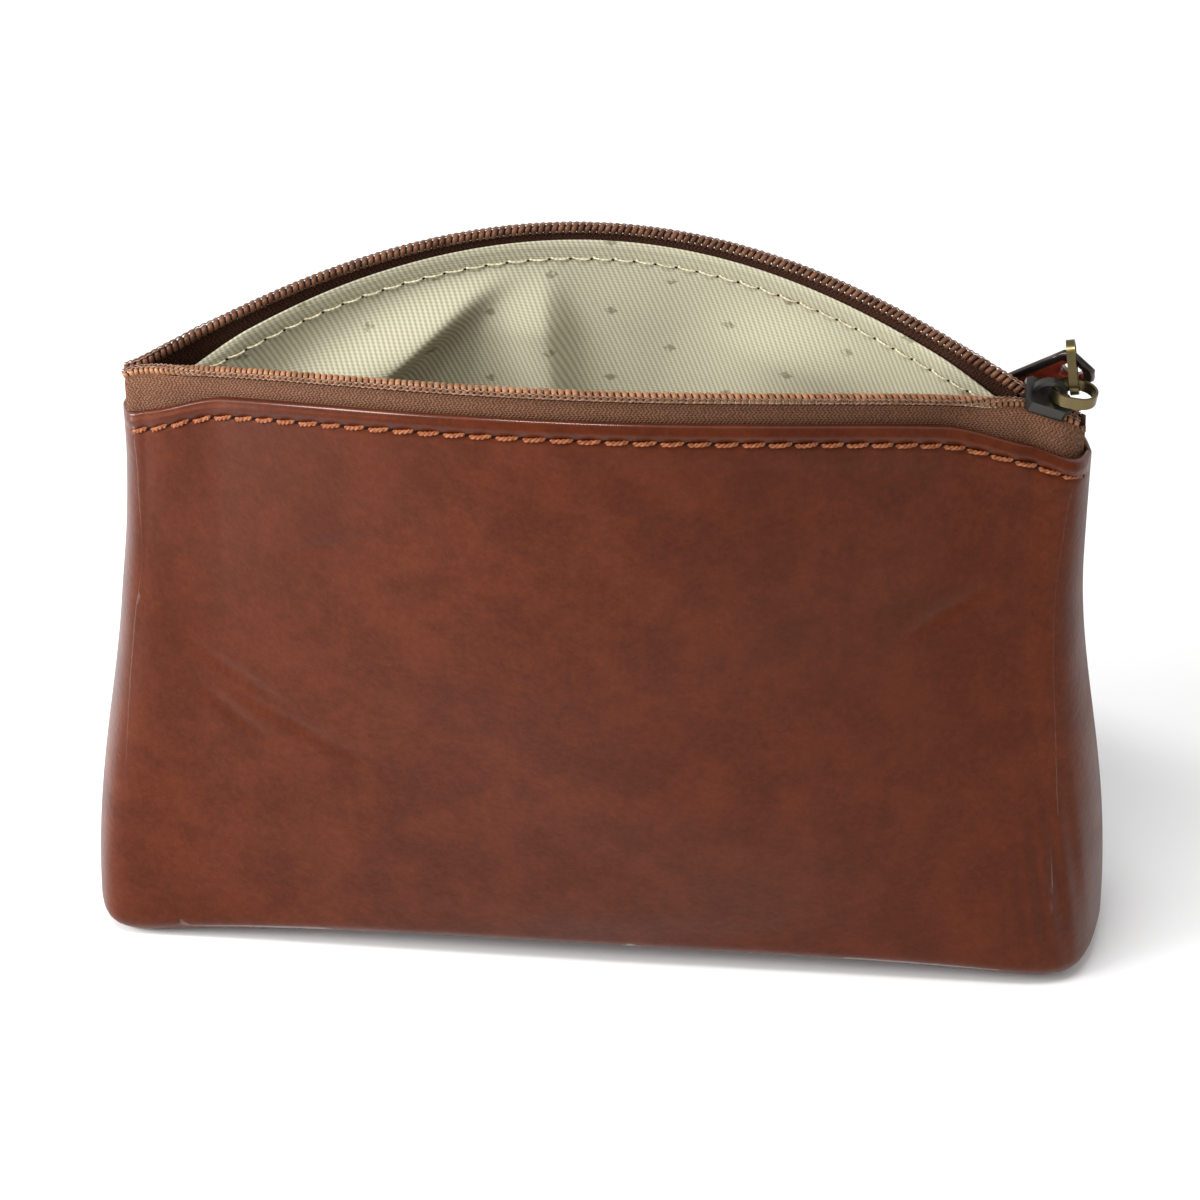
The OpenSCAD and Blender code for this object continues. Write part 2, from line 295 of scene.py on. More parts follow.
def coil_face(x):
    return Vector((0, -math.sin(tape_turn(x)), math.cos(tape_turn(x))))


# ---- Meshes ----
def make_object(name, vertices, faces, materials, face_slots=None, uvs=None, flip=False):
    """Vertices in millimetres; flip mirrors them to the back of the pouch."""
    side = -1 if flip else 1
    mesh = bpy.data.meshes.new(name)
    points = [(v[0] * MM, side * v[1] * MM, v[2] * MM) for v in vertices]
    mesh.from_pydata(points, [], [f[::-1] for f in faces] if flip else faces)
    if uvs:
        layer = mesh.uv_layers.new(name="UVMap")
        for loop in mesh.loops:
            layer.data[loop.index].uv = uvs[loop.vertex_index]
    for m in materials:
        mesh.materials.append(m)
    if face_slots:
        mesh.polygons.foreach_set("material_index", face_slots)
    mesh.polygons.foreach_set("use_smooth", [True] * len(mesh.polygons))
    mesh.update()
    obj = bpy.data.objects.new(name, mesh)
    bpy.context.collection.objects.link(obj)
    return obj


def grid(columns, closed=False):
    """Faces between neighbouring columns of equally many points; closed joins each column's ends."""
    rows = len(columns[0])
    faces = []
    for i in range(len(columns) - 1):
        for j in range(rows if closed else rows - 1):
            a, b = i * rows + j, i * rows + (j + 1) % rows
            faces.append((a, b, b + rows, a + rows))
    return faces


def strand(rings):
    """A closed strand through rings of points, each ring wound right-handed about the strand's way."""
    sides = len(rings[0])
    last = (len(rings) - 1) * sides
    faces = grid(rings, closed=True)
    faces.append(tuple(reversed(range(sides))))
    faces.append(tuple(last + k for k in range(sides)))
    return [v for r in rings for v in r], faces


def tube(points, radius, sides=8):
    """A round strand along points."""
    rings = []
    across = None
    for i, p in enumerate(points):
        way = (points[min(i + 1, len(points) - 1)] - points[max(i - 1, 0)]).normalized()
        across = across or way.orthogonal()
        across = (across - way * across.dot(way)).normalized()
        up = way.cross(across)
        turns = [2 * math.pi * k / sides for k in range(sides)]
        rings.append([p + radius * (math.cos(a) * across + math.sin(a) * up) for a in turns])
    return strand(rings)


def join(parts):
    """One list of vertices and faces from several (vertices, faces) pairs."""
    vertices, faces = [], []
    for v, f in parts:
        start = len(vertices)
        vertices += v
        faces += [tuple(start + k for k in face) for face in f]
    return vertices, faces


# ---- Materials ----
RIB_PITCH = 1.0
RIB_SLANT = 0.42
WEFT_PITCH = 0.55
LOZENGE_REPEAT = 9.0
HERRINGBONE_PITCH = 0.72
HERRINGBONE_ROW = 0.75
YARN_PITCH = 0.38


class Shader:
    """A node material, built one node at a time."""

    def __init__(self, name):
        self.material = bpy.data.materials.new(name)
        self.material.use_nodes = True
        self.tree = self.material.node_tree
        self.surface = self.tree.nodes["Principled BSDF"]

    def add(self, kind, inputs=(), **settings):
        node = self.tree.nodes.new(kind)
        for key, value in settings.items():
            setattr(node, key, value)
        for key, value in dict(inputs).items():
            self.feed(node.inputs[key], value)
        return node

    def feed(self, socket, value):
        if isinstance(value, bpy.types.NodeSocket):
            self.tree.links.new(value, socket)
        else:
            socket.default_value = value

    def set(self, **values):
        for key, value in values.items():
            self.feed(self.surface.inputs[key.replace("_", " ")], value)

    def math(self, operation, a, b=0.0):
        return self.add("ShaderNodeMath", {0: a, 1: b}, operation=operation).outputs[0]

    def ramp(self, factor, low, high):
        inputs = {"Value": factor, "From Min": low, "From Max": high}
        return self.add("ShaderNodeMapRange", inputs, interpolation_type="SMOOTHSTEP").outputs[0]

    def blend(self, factor, a, b):
        node = self.add("ShaderNodeMix", data_type="RGBA")
        self.feed(node.inputs[0], factor)
        self.feed(node.inputs[6], (*a, 1) if isinstance(a, tuple) else a)
        self.feed(node.inputs[7], (*b, 1) if isinstance(b, tuple) else b)
        return node.outputs[2]

    def place(self):
        return self.add("ShaderNodeTexCoord").outputs["Object"]

    def uv(self):
        """The two UV coordinates, which are in millimetres along the cloth."""
        split = self.add("ShaderNodeSeparateXYZ", {0: self.add("ShaderNodeTexCoord").outputs["UV"]})
        return split.outputs[0], split.outputs[1]

    def noise(self, scale, detail=4.0, roughness=0.55, vector=None):
        inputs = {"Vector": vector or self.place(), "Scale": scale}
        inputs.update({"Detail": detail, "Roughness": roughness})
        return self.add("ShaderNodeTexNoise", inputs).outputs["Fac"]

    def cells(self, scale, feature="F1"):
        inputs = {"Vector": self.place(), "Scale": scale}
        return self.add("ShaderNodeTexVoronoi", inputs, feature=feature).outputs["Distance"]

    def bump(self, height, distance, strength=1.0, normal=None):
        node = self.add("ShaderNodeBump", {"Height": height, "Distance": distance, "Strength": strength})
        if normal:
            self.feed(node.inputs["Normal"], normal)
        return node.outputs[0]


def leather_material(name, deep, light, roughness=0.4):
    """Dyed, polished leather: cloudy dye, mottling, pores, faint short creases and glossier crests."""
    s = Shader(name)
    mottle = s.ramp(s.noise(90, 8, 0.7), 0.36, 0.66)
    cloud = s.ramp(s.noise(13, 4), 0.32, 0.68)
    speckle = s.ramp(s.noise(700, 5, 0.7), 0.38, 0.66)
    pores = s.ramp(s.noise(2600, 3), 0.54, 0.72)
    dye = s.math("ADD", s.math("MULTIPLY", mottle, 0.55), s.math("MULTIPLY", speckle, 0.3))
    colour = s.blend(dye, deep, light)
    colour = s.blend(s.math("MULTIPLY", cloud, 0.32), colour, tuple(c * 0.7 for c in deep))
    colour = s.blend(s.math("MULTIPLY", pores, 0.3), colour, tuple(c * 0.35 for c in deep))
    rubbed = s.math("ADD", s.math("MULTIPLY", s.noise(60, 5), 0.26), roughness - 0.13)
    grain = s.bump(s.cells(820, "SMOOTH_F1"), 0.00008, 0.55)
    creased = s.bump(s.noise(150, 6, 0.7), 0.0003, 0.5, grain)
    s.set(Base_Color=colour, Roughness=rubbed, Normal=creased)
    crest = s.ramp(s.add("ShaderNodeNewGeometry").outputs["Pointiness"], 0.525, 0.538)
    gloss = s.math("ADD", s.math("MULTIPLY", crest, 0.9), 0.04)
    s.set(Specular_IOR_Level=0.26, Specular_Tint=(1.0, 0.45, 0.28, 1))
    s.set(Coat_Weight=gloss, Coat_Roughness=0.16)
    return s.material


def twill_material():
    """Ribbed cloth, printed with small single lozenges in a half-drop repeat; the ribs carry painted shade
    in their grooves and painted highlight on their tops.
    """
    s = Shader("lining_cloth")
    x, y = s.uv()
    across = s.math("ADD", x, s.math("MULTIPLY", y, RIB_SLANT))
    rib = s.math("SINE", s.math("MULTIPLY", across, 2 * math.pi / RIB_PITCH))
    weft = s.math("SINE", s.math("MULTIPLY", y, 2 * math.pi / WEFT_PITCH))
    # Painted shade and highlight: the cloth is darker in the ribs' grooves and lighter on their tops.
    lit = s.ramp(s.math("ADD", rib, s.math("MULTIPLY", weft, 0.45)), -1.4, 1.0)
    colour = s.blend(lit, (0.35, 0.32, 0.215), (0.59, 0.56, 0.42))
    colour = s.blend(s.math("MULTIPLY", s.noise(40, 3), 0.25), colour, (0.5, 0.47, 0.35))
    sideways, upwards = s.math("MULTIPLY", x, 0.8), s.math("MULTIPLY", y, 1.2)
    rising = s.math("PINGPONG", s.math("ADD", sideways, upwards), LOZENGE_REPEAT)
    falling = s.math("PINGPONG", s.math("SUBTRACT", sideways, upwards), LOZENGE_REPEAT)
    mark = s.math("SUBTRACT", 1.0, s.ramp(s.math("MAXIMUM", rising, falling), 0.9, 1.3))
    worn = s.math("MULTIPLY", mark, s.ramp(s.noise(900, 2), 0.34, 0.56))
    colour = s.blend(s.math("MULTIPLY", worn, 0.6), colour, (0.14, 0.11, 0.06))
    height = s.math("ADD", rib, s.math("MULTIPLY", weft, 0.4))
    s.set(Base_Color=colour, Roughness=0.85, Normal=s.bump(height, 0.00006, 0.6))
    s.set(Specular_IOR_Level=0.15, Sheen_Weight=0.04, Sheen_Roughness=0.5)
    return s.material


def tape_material(name, dark, light):
    """Herringbone: the ribs' slope turns over with each row across the tape; its colour is painted shade
    in the grooves and painted highlight on the ribs.
    """
    s = Shader(name)
    x, y = s.uv()
    ragged = s.math("MULTIPLY", s.noise(1400, 4, 0.7), 1.1)
    zigzag = s.math("PINGPONG", y, HERRINGBONE_ROW)
    slope = s.math("ADD", s.math("ADD", x, s.math("MULTIPLY", zigzag, 0.8)), ragged)
    rib = s.math("SINE", s.math("MULTIPLY", slope, 2 * math.pi / HERRINGBONE_PITCH))
    yarn = s.math("SINE", s.math("MULTIPLY", y, 2 * math.pi / YARN_PITCH))
    weave = s.math("ADD", rib, s.math("MULTIPLY", yarn, 0.6))
    # Painted shade and highlight: the colour follows the weave's heights, darker in its grooves and
    # lighter on its ribs.
    colour = s.blend(s.ramp(weave, -1.5, 1.6), dark, light)
    colour = s.blend(s.math("MULTIPLY", s.noise(1500, 3), 0.3), colour, dark)
    s.set(Base_Color=colour, Roughness=0.8, Normal=s.bump(weave, 0.00008, 0.7))
    s.set(Specular_IOR_Level=0.12)
    return s.material


def nylon_material(name, deep, light):
    s = Shader(name)
    colour = s.blend(s.ramp(s.noise(420, 3), 0.35, 0.65), deep, light)
    s.set(Base_Color=colour, Roughness=0.3, Normal=s.bump(s.noise(2400, 2), 0.00003, 0.4))
    s.set(Specular_IOR_Level=0.3, Specular_Tint=(1.0, 0.72, 0.55, 1))
    return s.material


def thread_material(name, deep, light):
    s = Shader(name)
    colour = s.blend(s.ramp(s.noise(1700, 4), 0.35, 0.68), deep, light)
    s.set(Base_Color=colour, Roughness=0.55, Normal=s.bump(s.noise(3600, 3), 0.00005, 0.6))
    s.set(Specular_IOR_Level=0.2)
    return s.material


def hole_shade_material():
    s = Shader("needle_hole")
    # Painted shade: the hole is coloured near black for the shade inside it.
    colour = s.blend(s.noise(1500, 2), (0.012, 0.006, 0.004), (0.03, 0.014, 0.009))
    s.set(Base_Color=colour, Roughness=0.9, Specular_IOR_Level=0.05)
    return s.material


def metal_material(name, dark, bright, metallic, roughness):
    """Dark plated metal, rubbed bright in patches and where its edges are sharp."""
    s = Shader(name)
    point = s.add("ShaderNodeNewGeometry").outputs["Pointiness"]
    rubbed = s.math("MAXIMUM", s.ramp(point, 0.52, 0.6), s.ramp(s.noise(500, 4), 0.55, 0.75))
    colour = s.blend(rubbed, dark, bright)
    uneven = s.math("ADD", s.math("MULTIPLY", s.noise(900, 3), 0.18), roughness - 0.09)
    s.set(Base_Color=colour, Roughness=uneven, Normal=s.bump(s.noise(1800, 3), 0.00003, 0.35))
    s.set(Metallic=metallic)
    return s.material


LEATHER = leather_material("leather", (0.053, 0.0088, 0.0027), (0.108, 0.0212, 0.0068))
PULL_LEATHER = leather_material("pull_leather", (0.09, 0.012, 0.006), (0.24, 0.034, 0.014), 0.24)
PULL_EDGE = leather_material("pull_edge_paint", (0.006, 0.005, 0.0045), (0.016, 0.012, 0.01), 0.3)
LINING = twill_material()
FRONT_TAPE = tape_material("zip_tape", (0.07, 0.028, 0.014), (0.24, 0.115, 0.066))
# Painted shade: the back tape is the front tape's cloth, coloured darker for the shade inside the mouth.
SHADED_BACK_TAPE = tape_material("zip_tape_shaded", (0.025, 0.009, 0.005), (0.1, 0.042, 0.025))
FRONT_COIL = nylon_material("nylon_coil", (0.2, 0.085, 0.04), (0.36, 0.17, 0.085))
# Painted shade: the back coil is the front coil's nylon, coloured darker for the shade inside the mouth.
SHADED_BACK_COIL = nylon_material("nylon_coil_dark", (0.07, 0.028, 0.015), (0.15, 0.066, 0.038))
CORD = thread_material("coil_cord", (0.03, 0.014, 0.009), (0.07, 0.033, 0.02))
COIL_THREAD = thread_material("coil_thread", (0.13, 0.07, 0.045), (0.33, 0.2, 0.14))
TAN_THREAD = thread_material("tan_thread", (0.19, 0.052, 0.018), (0.38, 0.135, 0.055))
CREAM_THREAD = thread_material("cream_thread", (0.5, 0.43, 0.28), (0.8, 0.74, 0.56))
# Painted shade in the needle holes.
HOLE = hole_shade_material()
ZINC = metal_material("blackened_zinc", (0.007, 0.007, 0.0065), (0.05, 0.048, 0.043), 0.8, 0.34)
BRASS = metal_material("antique_brass", (0.03, 0.023, 0.011), (0.15, 0.115, 0.055), 1.0, 0.3)


# ---- The wedge plane that parts each wall from its sides and base ----
def wedge(side, layer):
    """Anchor and outward axis, in metres, of the plane from the base's edge to the closed mouth."""
    depth, gap, _ = CLOSED[layer]
    height = ZIP_END_HEIGHT + ZIP_ARCH - EDGE_DROP
    lean = Vector((0, BASE_HALF_DEPTH - depth - gap, height)).normalized()
    anchor = -(BASE_HALF_DEPTH - depth) * MM
    return Vector((0, side * anchor, 0)), Vector((0, -side * lean.z, lean.y))


def close_with_mouth(obj, side, layer):
    anchor, out = wedge(side, layer)
    tuple(out)
    tuple(anchor)
    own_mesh(obj)


def keep_side(obj, side, layer, outside):
    """Cuts away obj on one side of the wedge plane and closes the cut; the shading stays."""
    anchor, out = wedge(side, layer)
    bm = bmesh.new()
    bm.from_mesh(obj.data)
    bm.normal_update()
    whole = bm.verts.layers.float_vector.new("whole_normal")
    for v in bm.verts:
        v[whole] = v.normal
    geometry = bm.verts[:] + bm.edges[:] + bm.faces[:]
    cut = bmesh.ops.bisect_plane(
        bm,
        geom=geometry,
        dist=1e-8,
        plane_co=anchor,
        plane_no=out,
        clear_inner=outside,
        clear_outer=not outside,
    )["geom_cut"]
    rim = [e for e in cut if isinstance(e, bmesh.types.BMEdge)]
    filled = bmesh.ops.triangle_fill(bm, use_beauty=True, edges=rim)["geom"]
    facing = -out if outside else out
    for face in (f for f in filled if isinstance(f, bmesh.types.BMFace)):
        face.normal_update()
        if face.normal.dot(facing) < 0:
            face.normal_flip()
    normals = [v[whole].normalized() for v in bm.verts]
    bm.to_mesh(obj.data)
    bm.free()
    obj.data.attributes.remove(obj.data.attributes["whole_normal"])
    obj.data.normals_split_custom_set_from_vertices(normals)


def split_at_wedge(obj, side, layer, moving_name):
    """Parts obj at the wedge plane into its wall and its sides and base."""
    moving = obj.copy()
    moving.data = obj.data.copy()
    moving.name = moving_name
    bpy.context.collection.objects.link(moving)
    keep_side(obj, side, layer, outside=False)
    keep_side(moving, side, layer, outside=True)
    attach(obj, "pouch")
    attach(moving, "pouch")
    close_with_mouth(moving, side, layer)
    return moving


# ---- Leather and lining ----
def column_path(u, depth, top_z):
    """Points from the base seam outwards, round the base's edge and up the wall, closest at its top."""
    foot = wall_point(u, depth, depth, BASE_EDGE_R)
    start = Vector((foot.x * BASE_SEAM_SHARE, -SEAM_GAP, depth))
    path = [start.lerp(foot, k / FLOOR_STEPS) for k in range(FLOOR_STEPS)]
    for k in range(EDGE_STEPS + 1):
        a = math.pi / 2 * k / EDGE_STEPS
        z = mix(depth, BASE_EDGE_R, 1 - math.cos(a))
        path.append(wall_point(u, z, depth, BASE_EDGE_R * (1 - math.sin(a))))
    for k in range(1, WALL_ROWS + 1):
        below_top = (1 - k / WALL_ROWS) ** ROW_CROWDING
        path.append(wall_point(u, mix(top_z, BASE_EDGE_R, below_top), depth))
    return path


def base_lift(p):
    """The middle of the base stands a little clear of the table, between its corners."""
    inwards = 1 - clamp01(abs(p.x - BASE_LIFT_MIDDLE) / BASE_LIFT_REACH) ** 4
    return BASE_LIFT * inwards * (1 - ease(p.z / BASE_LIFT_FADE))


def edge_relief(drop):
    """The turned edge stands proud, and the stitches pull a groove below it."""
    roll = EDGE_ROLL * math.exp(-(((drop - 1.2) / 0.85) ** 2))
    groove = EDGE_GROOVE * math.exp(-(((drop - STITCH_DROP) / 0.55) ** 2))
    hem = EDGE_HEM * (1 - ease((drop - 6.5) / 2.5))
    return roll + groove + hem


def corner_wrinkles(p):
    """Fine upright folds low down beside the right seam."""
    near = math.exp(-(((p.x - 90) / 7) ** 2) - ((p.z - 26) / 17) ** 2)
    return WRINKLE_HEIGHT * near * math.sin(p.x * 1.7 + p.z * 0.3)


def sheet_columns(depth, thickness, top_of, relief, inside=False):
    """Closed sections of a sheet: up its outer face, over its edge and down its inner face.

    The relief shapes the face that is seen, which is the inner one of the lining.
    """
    columns, lengths = [], []
    for k in range(WALL_COLUMNS + 1):
        u = math.sin(math.pi * (k / WALL_COLUMNS - 0.5))
        top = top_of(u * TOP_HALF_WIDTH)
        outer = column_path(u, depth, top)
        inner = column_path(u, depth + thickness, top)
        for p in inner if inside else outer:
            raised = relief(p, top - p.z) * corner(u, TOP_CORNER)
            p.y += raised if inside else -raised
        middle = (outer[-1] + inner[-1]) / 2
        reach = (outer[-1] - inner[-1]) / 2
        crown = [middle + reach * math.cos(a) + Vector((0, 0, thickness / 2 * math.sin(a)))
                 for a in (math.pi * j / 6 for j in range(1, 6))]
        column = outer + crown + inner[::-1]
        for p in column:
            p.z += base_lift(p)
        columns.append(column)
        steps = [0.0]
        for a, b in zip(column, column[1:]):
            steps.append(steps[-1] + (b - a).length)
        lengths.append([min(run, steps[-1] - run) for run in steps])
    return columns, lengths


def sheet_object(name, columns, lengths, material, flip):
    vertices = [p for c in columns for p in c]
    uvs = [(p.x, s) for c, steps in zip(columns, lengths) for p, s in zip(c, steps)]
    faces = [f[::-1] for f in grid(columns, closed=True)]
    rows = len(columns[0])
    last = (len(columns) - 1) * rows
    half = rows // 2
    for start, order in ((0, 1), (last, -1)):
        end = start + rows - 1
        caps = [(start + j, start + j + 1, end - 1 - j, end - j) for j in range(half - 1)]
        caps.append((start + half - 1, start + half, start + half + 1))
        faces += [cap[::order] for cap in caps]
    return make_object(name, vertices, faces, [material], uvs=uvs, flip=flip)


def leather_relief(p, drop):
    return edge_relief(drop) + corner_wrinkles(p)


def lining_relief(p, drop):
    hem = LINING_HEM * math.exp(-(((drop - 1.0) / 0.8) ** 2))
    groove = LINING_GROOVE * math.exp(-(((drop - LINING_RISE - LINING_STITCH_DROP) / 0.6) ** 2))
    return hem + groove


def lining_folds(p):
    """Soft folds that hang into the pouch below the lining's edge, each leaning its own way."""
    free = ease((lining_top(p.x) - p.z - 4) / 15) * ease(p.z / 20) * ease((84 - abs(p.x)) / 20)
    folds = 0.0
    for middle, lean, left_width, right_width, height in LINING_FOLDS:
        across = p.x - middle - lean * (p.z - FOLD_HEIGHT_ORIGIN)
        folds += height * math.exp(-((across / (left_width if across < 0 else right_width)) ** 2))
    ripple = noise.noise(Vector((p.x / 17 + p.z / 40, p.z / 46, 8.1)))
    return free * (folds + RIPPLE_HEIGHT * clamp01(0.35 + ripple))


def lining_columns():
    """The lining hangs in soft folds of its own, inwards from the leather."""
    columns, lengths = sheet_columns(LINING_DEPTH, LINING_T, lining_top, lining_relief, inside=True)
    for column in columns:
        for p in column:
            p.y += lining_folds(p)
    return columns, lengths


def build_walls():
    leather = sheet_columns(0.0, LEATHER_T, edge_z, leather_relief)
    lining = lining_columns()
    for side, word in ((1, "front"), (-1, "back")):
        panel = sheet_object(f"{word}_panel_sides_and_base", *leather, LEATHER, side < 0)
        wall = split_at_wedge(panel, side, "leather", f"{word}_panel_wall")
        cloth = sheet_object(f"{word}_lining_sides_and_base", *lining, LINING, side < 0)
        hung = split_at_wedge(cloth, side, "lining", f"{word}_lining_wall")
        for piece in (panel, wall):
            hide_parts(f"{word}_panel")
        for piece in (cloth, hung):
            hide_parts(f"{word}_lining")


# ---- Zip ----
def close_zip(obj, side):
    """Gives obj its own copy of its mesh."""
    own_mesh(obj)


def ride_zip(obj, side, node, slot):
    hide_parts(node)
    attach(obj, "pouch")
    close_zip(obj, side)


def tape_profile(x):
    """Points across the tape from the coil, over its rounded bend, to its end behind the leather."""
    u = x / (TOP_HALF_WIDTH - TAPE_DEPTH)
    start = coil_point(x) + (COIL_D / 2 + 0.12) * tape_way(x)
    edge = wall_point(u, edge_z(x), TAPE_DEPTH)
    low = wall_point(u, edge_z(x) - TAPE_TUCK, TAPE_DEPTH)
    half_way = (start + edge) / 2
    end = endness(x)
    bend = Vector((x, mix(half_way.y, edge.y, end), mix(half_way.z, start.z, end)))
    corners = [start, bend, Vector((x, edge.y, edge.z)), Vector((x, low.y, low.z))]
    for _ in range(TAPE_CORNER_CUTS):
        cut = [corners[0]]
        for a, b in zip(corners, corners[1:]):
            cut += [a.lerp(b, 0.25), a.lerp(b, 0.75)]
        corners = cut + [corners[-1]]
    return corners


def build_tape(word, side, material):
    columns, uvs = [], []
    for k in range(TAPE_STEPS + 1):
        x = mix(TAPE_LEFT, TAPE_RIGHT, k / TAPE_STEPS)
        line = tape_profile(x)
        run = [0.0]
        outer, inner = [], []
        for j, p in enumerate(line):
            way = (line[min(j + 1, len(line) - 1)] - line[max(j - 1, 0)]).normalized()
            out = Vector((0, way.z, -way.y))
            outer.append(p + out * TAPE_T / 2)
            inner.append(p - out * TAPE_T / 2)
            if j:
                run.append(run[-1] + (p - line[j - 1]).length)
        columns.append(outer + inner[::-1])
        uvs += [(x, r) for r in run + run[::-1]]
    vertices = [p for c in columns for p in c]
    rows = len(columns[0])
    last = (len(columns) - 1) * rows
    faces = grid(columns, closed=True)
    for start, order in ((0, -1), (last, 1)):
        for j in range(rows // 2 - 1):
            quad = (start + j, start + j + 1, start + rows - 2 - j, start + rows - 1 - j)
            faces.append(quad[::order])
    tape = make_object(f"{word}_zip_tape", vertices, faces, [material], uvs=uvs, flip=side < 0)
    ride_zip(tape, side, f"{word}_tape", "zip_tape")


def coil_frame(x):
    along = (coil_point(x + 0.5) - coil_point(x - 0.5)).normalized()
    face = coil_face(x)
    return along, (face - along * face.dot(along)).normalized()


def zip_stations(step):
    """Places along the zip that lie this far apart on its curve."""
    x = -ZIP_HALF_LENGTH
    while x < ZIP_HALF_LENGTH:
        yield x
        x += step / (coil_point(x + 0.5) - coil_point(x - 0.5)).length


def build_coil(word, side, material, slot):
    """A flattened wire, wound so close that its turns almost touch."""
    section = [2 * math.pi * k / 8 for k in range(8)]
    rings = []
    for k, x in enumerate(zip_stations(COIL_PITCH / COIL_STEPS)):
        along, face = coil_frame(x)
        a = 2 * math.pi * k / COIL_STEPS
        out = math.cos(a) * face.cross(along) + math.sin(a) * face
        centre = coil_point(x) + (COIL_D / 2 - COIL_WIRE_HALF_T) * out
        wide, thick = COIL_WIRE_HALF_W * along, COIL_WIRE_HALF_T * out
        rings.append([centre + math.cos(b) * wide + math.sin(b) * thick for b in section])
    coil = make_object(f"{word}_zip_coil", *strand(rings), [material], flip=side < 0)
    ride_zip(coil, side, f"{word}_coil", slot)


def build_coil_cord(word, side):
    """The two-ply cord that fills the coil."""
    plies = []
    for turn in (0, math.pi):
        points = []
        for k, x in enumerate(zip_stations(CORD_STEP)):
            along, face = coil_frame(x)
            a = CORD_TWIST * k + turn
            offset = CORD_PLY_OFFSET * (math.cos(a) * face + math.sin(a) * face.cross(along))
            points.append(coil_point(x) + offset)
        plies.append(tube(points, CORD_PLY_R, 6))
    cord = make_object(f"{word}_coil_filler_cord", *join(plies), [CORD], flip=side < 0)
    ride_zip(cord, side, f"{word}_coil_cord", "coil_cord")


def build_coil_thread(word, side):
    """Chain stitches in two rows that bind the coil to its tape, one stitch to each turn."""
    rows = []
    for row in COIL_THREAD_ROWS:
        points = []
        for k, x in enumerate(zip_stations(COIL_PITCH / COIL_THREAD_STEPS)):
            along, face = coil_frame(x)
            way = face.cross(along)
            a = 2 * math.pi * k / COIL_THREAD_STEPS
            lift = COIL_D / 2 + 0.08 + 0.07 * math.cos(a)
            points.append(coil_point(x) + lift * face + (row + 0.13 * math.sin(a)) * way)
        rows.append(tube(points, COIL_THREAD_R, 5))
    thread = make_object(f"{word}_coil_stitching", *join(rows), [COIL_THREAD], flip=side < 0)
    ride_zip(thread, side, f"{word}_coil_thread", "coil_thread")


# ---- Stitches ----
def stitch(start, end, out, thread_r, rise, slant):
    """A two-ply twisted stitch that arches out of one needle hole and into the next."""
    along = (end - start).normalized()
    lean = out.cross(along).normalized()
    plies = []
    for turn in (0, math.pi):
        points = []
        for k in range(STITCH_STEPS + 1):
            t = k / STITCH_STEPS
            a = 2 * math.pi * STITCH_TWISTS * t + turn
            arch = mix(STITCH_BURIED, rise, math.sin(math.pi * t) ** 0.4)
            p = start.lerp(end, t) + arch * out + slant * (t - 0.5) * lean
            points.append(p + 0.5 * thread_r * (math.cos(a) * out + math.sin(a) * lean))
        plies.append(tube(points, 0.62 * thread_r, 6))
    return join(plies)


def needle_hole(centre, out, along, radius):
    """A closed dimple, coloured near black as painted shade: a rim, with one point a little below it and
    one deep in the sheet.
    """
    lean = out.cross(along).normalized()
    sides = NEEDLE_HOLE_SIDES
    turns = [2 * math.pi * k / sides for k in range(sides)]
    rim = [centre + radius * (math.cos(a) * along + math.sin(a) * lean) for a in turns]
    faces = []
    for k in range(sides):
        a, b = 2 + k, 2 + (k + 1) % sides
        faces += [(0, b, a), (1, a, b)]
    return [centre - 0.08 * out, centre - 0.35 * out] + rim, faces


def stitch_row(depth, drop, sunk, pitch, thread_r, rise, slant, inwards):
    """Stitches and holes that follow the leather's edge, this far below it, on the sheet at this depth."""
    def at(u):
        p = wall_point(u, edge_z(u * TOP_HALF_WIDTH) - drop, depth)
        p.y += sunk
        return p

    parts, slots = [], []
    u = ROW_START
    while u < ROW_END:
        here = at(u)
        ahead = u + pitch / ((at(u + 0.004) - here).length / 0.004)
        there = at(min(ahead, ROW_LAST_PLACE))
        along = (there - here).normalized()
        out = along.cross(Vector((0, 0, 1))).normalized() * (-1 if inwards else 1)
        wobble = 0.18 * noise.noise(Vector((u * 40, depth, 0)))
        shape = stitch(here, here.lerp(there, 0.86), out, thread_r, rise, slant + wobble)
        hole_r = NEEDLE_HOLE_SHARE * thread_r
        hole = needle_hole(here.lerp(there, 0.93) + 0.12 * out, out, along, hole_r)
        parts += [shape, hole]
        slots += [0] * len(shape[1]) + [1] * len(hole[1])
        u = ahead
    return join(parts), slots


def leather_stitches():
    return stitch_row(depth=0.0, drop=STITCH_DROP, sunk=0.25, pitch=STITCH_PITCH,
                      thread_r=0.42, rise=0.45, slant=0.55, inwards=False)


def lining_stitches():
    return stitch_row(depth=LINING_DEPTH + LINING_T, drop=LINING_STITCH_DROP, sunk=0.1,
                      pitch=LINING_STITCH_PITCH, thread_r=0.2, rise=0.28, slant=0.25, inwards=True)


def build_stitches(word, side):
    rows = (
        ("leather_topstitches", "topstitch", TAN_THREAD, "tan_thread", "leather", leather_stitches()),
        ("lining_stitches", "lining_stitch", CREAM_THREAD, "cream_thread", "lining", lining_stitches()),
    )
    for name, node, material, slot, layer, (shape, slots) in rows:
        obj = make_object(f"{word}_{name}", *shape, [material, HOLE], slots, flip=side < 0)
        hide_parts(f"{word}_{node}")
        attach(obj, "pouch")
        close_with_mouth(obj, side, layer)


def build_seam_thread(name, node, path):
    parts = []
    for a, b in zip(path, path[1:]):
        out = Vector((0, 1, 0)) if abs((b - a).z) > abs((b - a).x) else Vector((0, 0, 1))
        parts.append(stitch(a, a.lerp(b, 0.9), out, SEAM_THREAD_R, 0.1, 0.0))
    obj = make_object(name, *join(parts), [TAN_THREAD])
    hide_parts(node)
    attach(obj, "pouch")


